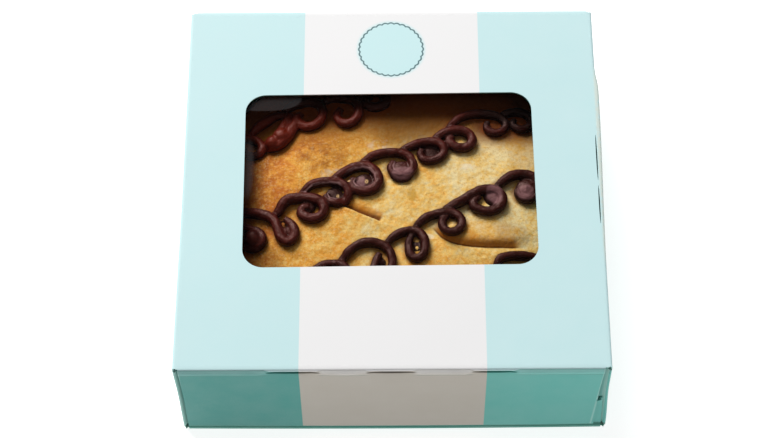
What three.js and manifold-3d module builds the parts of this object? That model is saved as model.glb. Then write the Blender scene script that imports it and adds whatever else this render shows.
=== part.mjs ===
import * as THREE from 'three';
import { mergeVertices } from 'three/addons/utils/BufferGeometryUtils.js';
import Module from 'manifold-3d';

// A mini chocolate eclair pie in its shut, windowed carton.
// Millimetres, +Z up, front towards -Y, origin at the middle of the carton's base.

// Carton, folded and glued from one sheet of board
const width = 114;
const height = 35;
const board = 0.5;
const half = width / 2;
const opening = { width: 79.3, depth: 54.9, corner: 5.7, x: -0.7, y: 1.3, turnDegrees: 0.5 };
const outerFlap = { left: 55.6, rightTop: 55.2, rightBottom: 53.8, bottom: 2.2 };
const bottomFlap = { reach: 17, side: 56, taper: 0.5 };
const dustFlap = { length: 38, taper: 6 };
const flapStep = 0.25;
// How far joined panels reach into each other
const bite = 0.1;
const perforation = { length: 13.2, pitch: 26.6, count: 3, width: 0.35, below: 0.8 };
const sidePerforation = { length: 13.8, pitch: 15.2, middle: 0.8, inset: 0.6 };
const cornerClip = { along: 1.6, deep: 0.8 };

// Clear film glued under the lid
const film = { margin: 8, corner: 1, thickness: 0.2, gap: 0.25 };
const filmTop = height - board - film.gap;
const filmBottom = filmTop - film.thickness;

// Foil tin, its pressed wall crinkled and its edge rolled. Radii and heights.
const tin = {
  base: 0.8,
  floor: 39.5,
  bend: 1.4,
  wallTop: 48.8,
  rim: 52,
  rimHeight: 22.5,
  roll: 0.65,
  foil: 0.4,
  crinkle: 0.25,
  facets: 48,
};

// Pie: a solid turned form with a crimped edge and a low dome, which leans towards the right
const crust = {
  facets: 64,
  wallGap: 0.9,
  floorGap: 0.5,
  wallTop: 21,
  lip: 50.6,
  lipUnder: 23.6,
  lipTop: 25.2,
  lipRound: 0.7,
  crimp: 0.35,
  crimpWidth: 1.6,
  edge: 47,
  crown: 29.3,
  drop: 4.4,
  leanX: 4,
  leanY: 1,
};
const domeRings = [45, 42, 38.5, 34.5, 30, 25, 20, 15, 10, 5, 0];
const lumps = [
  { rise: 0.15, alongX: 0.31, alongY: 0.12, shift: 0.7 },
  { rise: 0.12, alongX: -0.11, alongY: 0.27, shift: 2.1 },
  { rise: 0.15, alongX: 0.17, alongY: -0.23, shift: 1.9 },
];

// Slits in the crust: both ends, how far the lower side stands up, and how wide and deep the cut is
const slits = [
  { from: [-10.5, -3.4], to: [-3.1, -9.0], lift: 0.35, wide: 1.1, deep: 0.8 },
  { from: [12.4, -15.3], to: [19.9, -16.9], lift: -0.35, wide: 0.9, deep: 0.7 },
  { from: [19.5, -16.7], to: [29.4, -17.3], lift: -0.35, wide: 0.9, deep: 0.7 },
];

// How far a lifted side reaches from its slit, a sunk side, and both beyond the slit's ends
const relief = { edge: 0.8, lifted: 4.2, sunk: 1.7, ends: 2.4 };

// Piped icing: the rope's way round one loop, along the row, across it, and how far it is lifted
const ropeRadius = 1.55;
const restGap = 0.3;
const crossingLift = 0.95;
const loopWay = [
  [-3.0, 5.6, 0],
  [0.0, 4.6, 1],
  [2.5, 2.4, 0.7],
  [3.2, -0.8, 0],
  [1.5, -2.9, 0],
  [-1.2, -3.3, 0],
  [-3.1, -1.2, 0],
  [-2.8, 1.3, 0],
  [-0.6, 3.3, 0],
  [2.4, 5.2, 0],
];
const cutInWay = 4;
const stepsPerLoop = 11;
const ropeSides = 8;

// The middles of each row's loops, from left to right, with the loops' sizes
const rows = [
  {
    name: 'icing_row_1',
    radius: 1.8,
    loops: [
      [-38.5, 13.5], [-31.1, 18.4], [-22.5, 24.3], [-12.2, 25.3], [-4.1, 29.2], [4.2, 33.0], [12.4, 37.0],
    ],
    sizes: [0.9, 1.05, 0.85, 0.9, 0.95, 1, 0.95],
  },
  {
    name: 'icing_row_2',
    radius: ropeRadius,
    loops: [
      [-38.5, -15.2], [-29.0, -14.3], [-21.6, -6.3], [-15.3, -1.0], [-7.1, 2.8],
      [2.5, 7.8], [10.8, 12.1], [19.2, 16.3], [28.8, 21.0], [35.8, 22.6],
    ],
    sizes: [1, 0.9, 0.95, 0.88, 1.08, 1.08, 1, 1.05, 0.9, 1.05],
  },
  {
    name: 'icing_row_3',
    radius: ropeRadius,
    loops: [
      [-22.8, -31.0], [-14.6, -27.0], [-2.0, -22.8], [6.4, -17.5], [16.0, -10.8], [26.0, -3.6], [36.9, -0.5],
    ],
    sizes: [0.9, 0.9, 1.15, 1.0, 0.98, 1.15, 1.1],
  },
  {
    name: 'icing_row_4',
    radius: ropeRadius,
    loops: [[2.5, -40.6], [10.6, -38.0], [18.6, -34.2], [26.6, -29.6], [35.5, -25.0]],
    sizes: [0.85, 0.95, 0.9, 1, 1.05],
  },
];

const wasm = await Module();
wasm.setup();

// Turns a geometry into a solid that can be joined and cut, with its corners on a fine grid,
// so that faces which meet are exactly the same
const grain = 1 / 2048;

function solidOf(geometry) {
  const bare = geometry.index ? geometry.toNonIndexed() : geometry.clone();
  bare.deleteAttribute('normal');
  bare.deleteAttribute('uv');
  const place = bare.attributes.position.array;
  place.forEach((value, i) => { place[i] = Math.round(value / grain) * grain; });
  const merged = mergeVertices(bare, grain / 2);
  const corners = merged.index.array;
  const kept = [];
  for (let i = 0; i < corners.length; i += 3) {
    const [a, b, c] = [corners[i], corners[i + 1], corners[i + 2]];
    if (a !== b && b !== c && c !== a) kept.push(a, b, c);
  }
  return new wasm.Manifold(new wasm.Mesh({
    numProp: 3,
    vertProperties: new Float32Array(merged.attributes.position.array),
    triVerts: new Uint32Array(kept),
  }));
}

function geometryOf(solid) {
  const mesh = solid.getMesh();
  const geometry = new THREE.BufferGeometry();
  geometry.setAttribute('position', new THREE.BufferAttribute(new Float32Array(mesh.vertProperties), 3));
  geometry.setIndex(new THREE.BufferAttribute(new Uint32Array(mesh.triVerts), 1));
  geometry.computeVertexNormals();
  return geometry;
}

function joined(solids) {
  return solids.reduce((whole, next) => whole.add(next));
}

// A box between two corners
function slab([x0, y0, z0], [x1, y1, z1]) {
  const geometry = new THREE.BoxGeometry(x1 - x0, y1 - y0, z1 - z0);
  geometry.translate((x0 + x1) / 2, (y0 + y1) / 2, (z0 + z1) / 2);
  return solidOf(geometry);
}

// An upright prism over an outline in plan
function prism(shape, z0, z1, curveSegments = 6) {
  const geometry = new THREE.ExtrudeGeometry(shape, { depth: z1 - z0, bevelEnabled: false, curveSegments });
  geometry.translate(0, 0, z0);
  return solidOf(geometry);
}

function outline(points) {
  return new THREE.Shape(points.map(([x, y]) => new THREE.Vector2(x, y)));
}

function roundedRectangle(width, depth, radius) {
  const x = width / 2;
  const y = depth / 2;
  const shape = new THREE.Shape();
  shape.moveTo(-x + radius, -y);
  shape.absarc(x - radius, -y + radius, radius, -Math.PI / 2, 0);
  shape.absarc(x - radius, y - radius, radius, 0, Math.PI / 2);
  shape.absarc(-x + radius, y - radius, radius, Math.PI / 2, Math.PI);
  shape.absarc(-x + radius, -y + radius, radius, Math.PI, 1.5 * Math.PI);
  return shape;
}

// The opening in the lid, as a cutter
function windowCutter() {
  const geometry = new THREE.ExtrudeGeometry(
    roundedRectangle(opening.width, opening.depth, opening.corner),
    { depth: 4 * board, bevelEnabled: false, curveSegments: 6 },
  );
  geometry.rotateZ(THREE.MathUtils.degToRad(opening.turnDegrees));
  geometry.translate(opening.x, opening.y, height - 2.5 * board);
  return solidOf(geometry);
}

// A flat flap of the carton's end, drawn in x and z, as thick as the board
function endPanel(points, outerY) {
  const geometry = new THREE.ExtrudeGeometry(outline(points), { depth: board, bevelEnabled: false });
  geometry.rotateX(Math.PI / 2);
  geometry.translate(0, outerY + board, 0);
  return solidOf(geometry);
}

// The flaps that close one end: two dust flaps, the bottom flap, and the lid's flap glued over them.
// They are drawn for the front, and turned half round for the back.
function endFlaps() {
  const dustY = -half + board - bite;
  const dust = [-1, 1].map((hand) => {
    const { length, taper } = dustFlap;
    const outer = hand * (half - 2 * bite);
    const inner = hand * (half - length);
    const low = 2 * bite;
    const corners = [[outer, low], [inner, taper], [inner, height - taper], [outer, height - low]];
    return endPanel(hand < 0 ? corners : corners.reverse(), dustY);
  });
  const { reach, side, taper } = bottomFlap;
  const bottom = endPanel(
    [[-side, bite], [side, bite], [side - taper, reach], [-side + taper, reach]],
    -half + flapStep,
  );
  const { left, rightTop, rightBottom, bottom: low } = outerFlap;
  const top = height - bite;
  const outer = endPanel([[-left, low], [rightBottom, low], [rightTop, top], [-left, top]], -half);
  return joined([...dust, bottom, outer]);
}

function turnedHalfRound(solid) {
  const geometry = geometryOf(solid);
  geometry.rotateZ(Math.PI);
  return solidOf(geometry);
}

// Long cuts along the folds, where the board parts when it is bent
function perforationCutters() {
  const cutters = [];
  const throughBoard = 1.5 * board;
  for (let i = 0; i < perforation.count; i += 1) {
    const x = (i - (perforation.count - 1) / 2) * perforation.pitch;
    const z = height - perforation.below;
    const [x0, x1] = [x - perforation.length / 2, x + perforation.length / 2];
    cutters.push(slab([x0, -half - 1, z - perforation.width], [x1, -half + throughBoard, z]));
    cutters.push(slab([x0, half - throughBoard, z - perforation.width], [x1, half + 1, z]));
  }
  for (const hand of [-1, 1]) {
    const y = sidePerforation.middle + (hand * sidePerforation.pitch) / 2;
    const x = half - sidePerforation.inset;
    cutters.push(slab(
      [x - perforation.width, y - sidePerforation.length / 2, height - throughBoard],
      [x, y + sidePerforation.length / 2, height + 1],
    ));
  }
  return cutters;
}

// The lid's corners are clipped, where the folds don't quite meet
function cornerCutters() {
  const beyond = half + 1;
  const near = half - cornerClip.along - 1;
  return [[-1, -1], [1, -1], [1, 1], [-1, 1]].map(([hand, end]) => {
    const points = [[hand * beyond, end * near], [hand * beyond, end * beyond], [hand * near, end * beyond]];
    if (hand * end < 0) points.reverse();
    return prism(outline(points), height - cornerClip.deep, height + 1);
  });
}

function makeCarton() {
  const lid = slab([-half, -half, height - board], [half, half, height]);
  const baseEnd = half - flapStep - bite;
  const base = slab([-half, -baseEnd, 0], [half, baseEnd, board]);
  const sideEnd = half - board - bite;
  const left = slab([-half, -sideEnd, bite], [-half + board, sideEnd, height - bite]);
  const right = slab([half - board, -sideEnd, bite], [half, sideEnd, height - bite]);
  const front = endFlaps();
  const back = turnedHalfRound(front);
  const whole = joined([lid, base, left, right, front, back]);
  return [windowCutter(), ...perforationCutters(), ...cornerCutters()].reduce(
    (solid, cutter) => solid.subtract(cutter),
    whole,
  );
}

function makeFilm() {
  const { margin, corner } = film;
  const sheet = roundedRectangle(opening.width + 2 * margin, opening.depth + 2 * margin, corner);
  return prism(sheet, filmBottom, filmTop, 1).translate(opening.x, opening.y, 0);
}

// Turns a profile of [radius, height] points about the upright axis, then moves each corner
function turned(profile, facets, move) {
  const geometry = new THREE.LatheGeometry(profile.map(([r, z]) => new THREE.Vector2(r, z)), facets);
  geometry.rotateX(Math.PI / 2);
  const place = geometry.attributes.position;
  for (let i = 0; i < place.count; i += 1) {
    const spoke = Math.floor(i / profile.length) % facets;
    const [x, y, z] = move(place.getX(i), place.getY(i), place.getZ(i), i % profile.length, spoke);
    place.setXYZ(i, x, y, z);
  }
  return solidOf(geometry);
}

// How wide the tin's wall stands at a height
function wallRadius(z) {
  const share = (z - tin.base) / (tin.rimHeight - tin.base);
  return THREE.MathUtils.lerp(tin.floor, tin.wallTop, share);
}

function makeTin() {
  const { base, floor, bend, wallTop, rim, rimHeight, roll, foil, crinkle, facets } = tin;
  const rolled = [-90, -54, -18, 18, 54, 90].map((degrees) => {
    const angle = THREE.MathUtils.degToRad(degrees);
    return [rim + roll * Math.cos(angle), rimHeight + roll * (Math.sin(angle) - 1) + foil];
  });
  const profile = [
    [0, base],
    [floor - bend, base],
    [floor, base + bend],
    [wallTop, rimHeight - foil],
    ...rolled,
    [wallTop - foil, rimHeight + foil],
    [floor - foil, base + bend + foil],
    [floor - bend - foil, base + foil],
    [0, base + foil],
  ];
  const wallCorners = new Set([3, profile.length - 4]);
  return turned(profile, facets, (x, y, z, corner, spoke) => {
    const pressedIn = wallCorners.has(corner) && spoke % 2 === 0;
    const scale = pressedIn ? 1 - crinkle / Math.hypot(x, y) : 1;
    return [x * scale, y * scale, z];
  });
}

// Falls from 1 to nothing with distance
function fade(distance, reach) {
  return Math.exp(-((distance / reach) ** 2));
}

// How far a slit's two sides are lifted or sunk at a place beside it
function slitRelief(x, y) {
  let rise = 0;
  for (const { from, to, lift } of slits) {
    const [dx, dy] = [to[0] - from[0], to[1] - from[1]];
    const length = Math.hypot(dx, dy);
    const along = ((x - from[0]) * dx + (y - from[1]) * dy) / length ** 2;
    const across = ((x - from[0]) * dy - (y - from[1]) * dx) / length;
    const beyond = Math.max(0, -along, along - 1) * length;
    const lowerSide = 0.5 + 0.5 * Math.tanh(across / relief.edge);
    const lifted = lowerSide * fade(across, relief.lifted);
    const sunk = 0.5 * (1 - lowerSide) * fade(across, relief.sunk);
    rise += lift * (lifted - sunk) * fade(beyond, relief.ends);
  }
  return rise;
}

// The crust's upper surface, out to its crimped edge
function crustTop(x, y) {
  const reach = Math.hypot(x - crust.leanX, y - crust.leanY) / crust.edge;
  const dome = crust.crown - crust.drop * reach ** 4;
  const lumpy = lumps.reduce(
    (sum, { rise, alongX, alongY, shift }) => sum + rise * Math.sin(alongX * x + alongY * y + shift),
    0,
  );
  return Math.max(dome + lumpy + slitRelief(x, y), crust.lipTop);
}

// The height that a round rope's underside must clear: the crust below it and beside it
function crustUnder(x, y, radius) {
  const beside = Math.SQRT1_2 * radius;
  const roundness = radius - beside;
  const around = Array.from({ length: 6 }, (_, i) => {
    const angle = (i * Math.PI) / 3;
    return crustTop(x + beside * Math.cos(angle), y + beside * Math.sin(angle)) - roundness;
  });
  return Math.max(crustTop(x, y), ...around);
}

function makeCrustBody() {
  const { wallGap, floorGap, wallTop, edge, crown } = crust;
  const { lip, lipUnder, lipTop, lipRound, crimp, crimpWidth } = crust;
  const low = tin.base + tin.foil + floorGap;
  const inTin = (z) => wallRadius(z) - wallGap;
  const wall = [
    [0, low],
    [inTin(low) - tin.bend, low],
    [inTin(low), low + tin.bend],
    [inTin(wallTop), wallTop],
    [inTin(wallTop), lipUnder],
    [lip - lipRound, lipUnder],
    [lip, (lipUnder + lipTop) / 2],
  ];
  const crimped = [[lip - lipRound, lipTop], [lip - lipRound - crimpWidth, lipTop]];
  const profile = [...wall, ...crimped, [edge, lipTop - crimp], ...domeRings.map((r) => [r, crown])];
  const domeStart = wall.length + crimped.length + 1;
  return turned(profile, crust.facets, (x, y, z, corner, spoke) => {
    if (corner >= domeStart) return [x, y, crustTop(x, y)];
    const isCrimped = corner >= wall.length && corner < wall.length + crimped.length;
    const ridge = spoke % 2 === 0 ? crimp : -crimp;
    return [x, y, isCrimped ? z + ridge : z];
  });
}

// A wedge that opens a slit in the crust. It stands up clear of the surface.
function slitCutter({ from, to, wide, deep }) {
  const [dx, dy] = [to[0] - from[0], to[1] - from[1]];
  const above = 2;
  const halfTop = (wide / 2) * (1 + above / deep);
  const wedge = outline([[0, -deep], [halfTop, above], [-halfTop, above]]);
  const geometry = new THREE.ExtrudeGeometry(wedge, { depth: Math.hypot(dx, dy), bevelEnabled: false });
  geometry.rotateX(Math.PI / 2);
  geometry.rotateZ(Math.atan2(dy, dx) + Math.PI / 2);
  geometry.translate(from[0], from[1], crustTop((from[0] + to[0]) / 2, (from[1] + to[1]) / 2));
  return solidOf(geometry);
}

function makePie() {
  return slits.reduce((solid, slit) => solid.subtract(slitCutter(slit)), makeCrustBody());
}

// The rope's points for one loop, from its arch to the point where it leaves for the next
function loopPoints(row, i) {
  const before = row.loops[Math.max(0, i - 1)];
  const after = row.loops[Math.min(row.loops.length - 1, i + 1)];
  const heading = Math.atan2(after[1] - before[1], after[0] - before[0]);
  const [cx, cy] = row.loops[i];
  return loopWay.map(([along, across, lifted]) => {
    const u = along * row.sizes[i];
    const v = across * row.sizes[i];
    const x = cx + u * Math.cos(heading) - v * Math.sin(heading);
    const y = cy + u * Math.sin(heading) + v * Math.cos(heading);
    const resting = crustUnder(x, y, row.radius) + restGap + row.radius + lifted * crossingLift;
    return new THREE.Vector3(x, y, Math.min(resting, filmBottom - restGap - row.radius));
  });
}

// One stretch of a row's curve. Its sections stand upright, so that they match the next stretch's.
class Stretch extends THREE.Curve {
  constructor(curve, start, end) {
    super();
    this.place = (t) => THREE.MathUtils.lerp(start, end, t);
    this.curve = curve;
  }

  getPoint(t) {
    return this.curve.getPoint(this.place(t));
  }

  getTangent(t) {
    return this.curve.getTangent(this.place(t));
  }

  computeFrenetFrames(steps) {
    const upright = new THREE.Vector3(0, 0, 1);
    const tangents = Array.from({ length: steps + 1 }, (_, i) => this.getTangentAt(i / steps));
    const normals = tangents.map((tangent) => upright.clone().cross(tangent).normalize());
    const binormals = tangents.map((tangent, i) => tangent.clone().cross(normals[i]));
    return { tangents, normals, binormals };
  }
}

function ropeSection(radius) {
  return outline(Array.from({ length: ropeSides }, (_, i) => {
    const angle = (2 * Math.PI * i) / ropeSides;
    return [radius * Math.cos(angle), radius * Math.sin(angle)];
  }));
}

// A row is one rope. It is joined from a length for each loop, because it crosses itself.
function makeIcingRow(row) {
  const points = row.loops.flatMap((_, i) => loopPoints(row, i));
  const curve = new THREE.CatmullRomCurve3(points);
  const last = points.length - 1;
  const cuts = [0, ...row.loops.map((_, i) => i * loopWay.length + cutInWay), last];
  const lengths = cuts.slice(1).map((cut, i) => {
    const steps = Math.max(3, Math.round((stepsPerLoop * (cut - cuts[i])) / loopWay.length));
    const extrudePath = new Stretch(curve, cuts[i] / last, cut / last);
    const settings = { steps, extrudePath, bevelEnabled: false };
    return solidOf(new THREE.ExtrudeGeometry(ropeSection(row.radius), settings));
  });
  return joined(lengths);
}

const group = new THREE.Group();

function addMesh(name, solid, material) {
  const mesh = new THREE.Mesh(geometryOf(solid), material);
  mesh.name = name;
  group.add(mesh);
}

const paper = new THREE.MeshStandardMaterial({ color: 0xcdebed, roughness: 0.55, metalness: 0 });
const clear = new THREE.MeshStandardMaterial({
  color: 0xffffff, roughness: 0.08, metalness: 0, transparent: true, opacity: 0.2,
});
const foil = new THREE.MeshStandardMaterial({ color: 0xc8cacc, roughness: 0.35, metalness: 1 });
const baked = new THREE.MeshStandardMaterial({ color: 0xdba857, roughness: 0.75, metalness: 0 });
const icing = new THREE.MeshStandardMaterial({ color: 0x3a1a14, roughness: 0.35, metalness: 0 });

addMesh('carton', makeCarton(), paper);
addMesh('window_film', makeFilm(), clear);
addMesh('foil_tin', makeTin(), foil);
addMesh('pie', makePie(), baked);
for (const row of rows) addMesh(row.name, makeIcingRow(row), icing);

export default group;
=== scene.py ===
import math
import random

import bmesh
import bpy
from mathutils import Matrix, Vector, geometry, kdtree, noise


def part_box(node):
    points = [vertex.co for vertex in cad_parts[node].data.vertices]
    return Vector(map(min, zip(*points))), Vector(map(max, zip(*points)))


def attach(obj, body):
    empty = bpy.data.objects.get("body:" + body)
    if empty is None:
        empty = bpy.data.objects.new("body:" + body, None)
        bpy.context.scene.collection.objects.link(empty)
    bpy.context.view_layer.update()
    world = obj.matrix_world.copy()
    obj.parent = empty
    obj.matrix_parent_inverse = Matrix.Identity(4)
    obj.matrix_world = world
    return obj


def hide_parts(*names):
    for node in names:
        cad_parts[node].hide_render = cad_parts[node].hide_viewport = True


# A mini chocolate eclair pie in its shut, windowed carton.
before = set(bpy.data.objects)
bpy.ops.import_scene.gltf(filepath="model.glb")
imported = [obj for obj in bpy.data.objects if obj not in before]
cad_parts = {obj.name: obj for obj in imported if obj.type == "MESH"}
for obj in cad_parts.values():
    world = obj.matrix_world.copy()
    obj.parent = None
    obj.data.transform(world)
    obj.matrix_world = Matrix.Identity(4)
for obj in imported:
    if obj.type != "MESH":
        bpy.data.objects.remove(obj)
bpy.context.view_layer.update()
print("frame loaded")

mm = 0.001
half, _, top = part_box("carton")[1]    # the carton's half width and its height


# Helpers for modelling

def pickOnly(thing):
    bpy.ops.object.select_all(action="DESELECT")
    thing.select_set(True)
    bpy.context.view_layer.objects.active = thing


def startFrom(name, primitive, stretch=(1, 1, 1), **settings):    # a primitive at its size and place
    bpy.ops.object.select_all(action="DESELECT")
    primitive(**settings)
    thing = bpy.context.object
    thing.name = name
    thing.scale = stretch
    bpy.ops.object.transform_apply(location=True, rotation=True, scale=True)
    return thing


def putObject(name, data):
    thing = bpy.data.objects.new(name, data)
    bpy.context.scene.collection.objects.link(thing)
    return thing


def openMesh(thing):
    pickOnly(thing)
    bpy.ops.object.mode_set(mode="EDIT")


def closeMesh():
    bpy.ops.object.mode_set(mode="OBJECT")


def grab(thing, kind, wanted):    # in edit mode, selects only what passes the test
    bpy.ops.mesh.select_mode(type=kind)
    bpy.ops.mesh.select_all(action="DESELECT")
    mesh = bmesh.from_edit_mesh(thing.data)
    parts = {"VERT": mesh.verts, "EDGE": mesh.edges, "FACE": mesh.faces}[kind]
    for part in [each for each in parts if wanted(each)]:
        part.select_set(True)
    bmesh.update_edit_mesh(thing.data)


def span(edge, axis):    # how long an edge is along x, y or z
    return abs(edge.verts[0].co[axis] - edge.verts[1].co[axis])


def pull(step):    # extrudes the selection by one step
    bpy.ops.mesh.extrude_region_move(TRANSFORM_OT_translate={"value": tuple(step)})


def finishWith(thing, kind, **settings):    # adds a modifier and applies it
    pickOnly(thing)
    modifier = thing.modifiers.new(kind.title(), kind)
    for key, value in settings.items():
        setattr(modifier, key, value)
    bpy.ops.object.modifier_apply(modifier=modifier.name)


def moveEach(thing, placed):    # puts every vertex where placed() says
    for vertex in thing.data.vertices:
        vertex.co = placed(vertex.co)
    thing.data.update()


def ruffle(thing, length, depth, strength, level=0.5):    # moves the surface in and out in soft clouds
    clouds = bpy.data.textures.new("clouds", "CLOUDS")
    clouds.noise_scale = length
    clouds.noise_depth = depth
    settings = {"texture": clouds, "texture_coords": "LOCAL", "strength": strength, "mid_level": level}
    finishWith(thing, "DISPLACE", **settings)


def smoothShade(thing, degrees=180):
    pickOnly(thing)
    bpy.ops.object.shade_smooth_by_angle(angle=math.radians(degrees))


def ease(value, low, high):    # 0 at low, 1 at high, smoothly between
    share = min(1, max(0, (value - low) / (high - low)))
    return share * share * (3 - 2 * share)


def handOver(piece, finishes, slotName, *nodes):    # the piece takes its nodes' place
    piece.data.materials.clear()
    for finish in finishes:
        piece.data.materials.append(finish)
    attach(piece, "root")
    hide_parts(*nodes)


# Shader nodes, with sums written as sums

def tint(red, green, blue):    # a screen colour, 0 to 255, as the linear one that shaders use
    parts = [value / 255 for value in (red, green, blue)]
    return (*[p / 12.92 if p <= 0.04045 else ((p + 0.055) / 1.055) ** 2.4 for p in parts], 1)


def mathNode(operation, isTurned=False):    # a method that adds a Math node, its values perhaps turned round
    def calc(*values):
        inputs = dict(enumerate(reversed(values) if isTurned else values))
        return values[0].finish.add("ShaderNodeMath", {"operation": operation}, inputs)

    return calc


class Wire:
    def __init__(self, finish, socket):
        self.finish = finish
        self.socket = socket

    __add__ = __radd__ = mathNode("ADD")
    __sub__ = mathNode("SUBTRACT")
    __rsub__ = mathNode("SUBTRACT", isTurned=True)
    __mul__ = __rmul__ = mathNode("MULTIPLY")
    __truediv__ = mathNode("DIVIDE")
    __pow__ = mathNode("POWER")
    __abs__ = mathNode("ABSOLUTE")
    least = mathNode("MINIMUM")
    most = mathNode("MAXIMUM")
    sign = mathNode("SIGN")
    cosine = mathNode("COSINE")
    angleTo = mathNode("ARCTAN2")

    def ease(self, low, high):    # 0 at low, 1 at high, smoothly between
        settings = {"interpolation_type": "SMOOTHSTEP"}
        return self.finish.add("ShaderNodeMapRange", settings, {0: self, 1: low, 2: high})


class Finish:
    def __init__(self, name):
        self.material = bpy.data.materials.new(name)
        self.material.use_nodes = True
        self.tree = self.material.node_tree
        self.tree.nodes.clear()
        self.place = self.add("ShaderNodeTexCoord", {}, {}, "Object")
        self.x, self.y, self.z = [self.part(self.place, axis) for axis in "XYZ"]

    def add(self, kind, settings, values, output=0):
        node = self.tree.nodes.new(kind)
        for key, value in settings.items():
            if key == "stops":
                self.setStops(node.color_ramp.elements, value)
            else:
                setattr(node, key, value)
        for key, value in values.items():
            if isinstance(value, Wire):
                self.tree.links.new(value.socket, node.inputs[key])
            else:
                node.inputs[key].default_value = value
        return Wire(self, node.outputs[output])

    def setStops(self, elements, stops):
        while len(elements) < len(stops):
            elements.new(0.5)
        for element, (position, colour) in zip(elements, stops):
            element.position = position
            element.color = colour

    def part(self, vector, axis):
        return self.add("ShaderNodeSeparateXYZ", {}, {0: vector}, axis)

    def read(self, name, output="Fac"):    # an attribute of the mesh
        return self.add("ShaderNodeAttribute", {"attribute_name": name}, {}, output)

    def noise(self, grain, detail=2, rough=0.5, vector=None):
        values = {"Vector": vector or self.place, "Scale": 1 / grain, "Detail": detail, "Roughness": rough}
        return self.add("ShaderNodeTexNoise", {}, values, "Fac")

    def blend(self, share, first, second):    # first where share is 0, second where it is 1
        return self.add("ShaderNodeMix", {"data_type": "RGBA"}, {0: share, 6: first, 7: second}, 2)

    def paint(self, colour, layers):    # lays each shade over the colour, as far as its share says
        for share, shade in layers:
            colour = self.blend(share, colour, tint(*shade))
        return colour

    def spot(self, x, y, wide, deep, soft=0.5):    # 1 in an oval seen from above, measured in millimetres
        across = abs(self.x - x * mm) / (wide * mm)
        along = abs(self.y - y * mm) / (deep * mm)
        return (across ** 2.5 + along ** 2.5).ease(1, 1 - soft)

    def spots(self, places, soft=0.5):
        total = 0
        for place in places:
            total = total + self.spot(*place, soft)
        return total.least(1)

    def bump(self, height, depth, strength=1.0):
        values = {"Height": height, "Distance": depth, "Strength": strength}
        return self.add("ShaderNodeBump", {}, values)

    def show(self, shader):
        output = self.tree.nodes.new("ShaderNodeOutputMaterial")
        self.tree.links.new(shader.socket, output.inputs["Surface"])
        return self.material

    def surface(self, values):
        return self.show(self.add("ShaderNodeBsdfPrincipled", {}, values))


# Camera, light and floor come first, as the pieces are judged in them

studio = {
    "lens": 101.36,
    "aim": (-0.6672 * mm, 8.7912 * mm, 0),
    "yaw": 0.2359,
    "elevation": 59.6933,
    "roll": -0.4944,
    "distance": 632.5447 * mm,
    "floorSize": 6,
    "floorTone": tint(204, 204, 204),
    "floorGlow": 0.82,
    "ambient": 0.21,
    "lampWay": (-0.36, 0.70, 0.63),
    "lampDistance": 4,
    "lampSize": 2.3,
    "lampPower": 207,
}


def makeCamera():
    yaw, rise, roll = [math.radians(studio[name]) for name in ("yaw", "elevation", "roll")]
    turn = Matrix.Rotation(yaw, 4, "Z") @ Matrix.Rotation(math.pi / 2 - rise, 4, "X")
    back = turn @ Vector((0, 0, studio["distance"]))
    camera = bpy.data.cameras.new("viewCamera")
    camera.lens = studio["lens"]
    camera.sensor_width = 36
    camera.clip_start = 0.01
    viewer = putObject("viewCamera", camera)
    place = Matrix.Translation(Vector(studio["aim"]) + back)
    viewer.matrix_world = place @ turn @ Matrix.Rotation(roll, 4, "Z")
    bpy.context.scene.camera = viewer


def makeLights():
    light = bpy.data.lights.new("keyBox", "AREA")
    light.size = studio["lampSize"]
    light.energy = studio["lampPower"]
    way = Vector(studio["lampWay"]).normalized()
    lamp = putObject("keyBox", light)
    lamp.location = way * studio["lampDistance"]
    lamp.rotation_euler = way.to_track_quat("Z", "Y").to_euler()
    world = bpy.data.worlds.new("studioRoom")
    world.use_nodes = True
    sky = world.node_tree.nodes["Background"]
    sky.inputs["Color"].default_value = (1, 1, 1, 1)
    sky.inputs["Strength"].default_value = studio["ambient"]
    bpy.context.scene.world = world
    bpy.context.scene.view_settings.view_transform = "Standard"


def makeFloor():
    floor = startFrom("paleFloor", bpy.ops.mesh.primitive_plane_add, size=studio["floorSize"])
    finish = Finish("paleFloorFinish")
    values = {"Base Color": studio["floorTone"], "Roughness": 0.9, "Emission Color": (1, 1, 1, 1),
              "Emission Strength": studio["floorGlow"]}
    floor.data.materials.append(finish.surface(values))


makeCamera()
makeLights()
makeFloor()
print("studio ready")


# The carton, folded from one sheet of printed board

carton = {
    "board": 0.42 * mm,
    "fold": 0.55 * mm,           # outer radius of a fold
    "foldSteps": 4,
    "layer": 0.48 * mm,          # from the outer face of one flap to that of the next inside it
    "columns": 48,
    "rows": 14,
    "outerLeft": 55.6 * mm,
    "outerRight": 55.2 * mm,
    "outerRightBelow": 53.4 * mm,
    "outerBottom": 2.1 * mm,
    "support": 0.35 * mm,        # from a fold to the first edge beside it
    "bottomFlap": 17 * mm,
    "bottomFlapSide": 55.6 * mm,
    "bottomStep": 1.45 * mm,     # where the bottom flap steps in behind the outer one
    "dustFlap": 37 * mm,
    "dustTaper": 0.8,
    "dustLow": 2.1 * mm,
    "dustHigh": 33.7 * mm,
    "dustStep": 0.8 * mm,        # how far a dust flap steps in beside its fold
    "dustSlope": 0.6 * mm,       # over this width
    "cornerOut": 0.42 * mm,
    "cornerBack": 0.25 * mm,
    "cornerFrom": 56.0 * mm,
    "edgeWear": 0.13 * mm,
}

window = {
    "width": 79.3 * mm,
    "depth": 54.9 * mm,
    "corner": 5.7 * mm,
    "middle": (-0.7 * mm, 1.3 * mm),
    "turn": 0.5,
}

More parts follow.
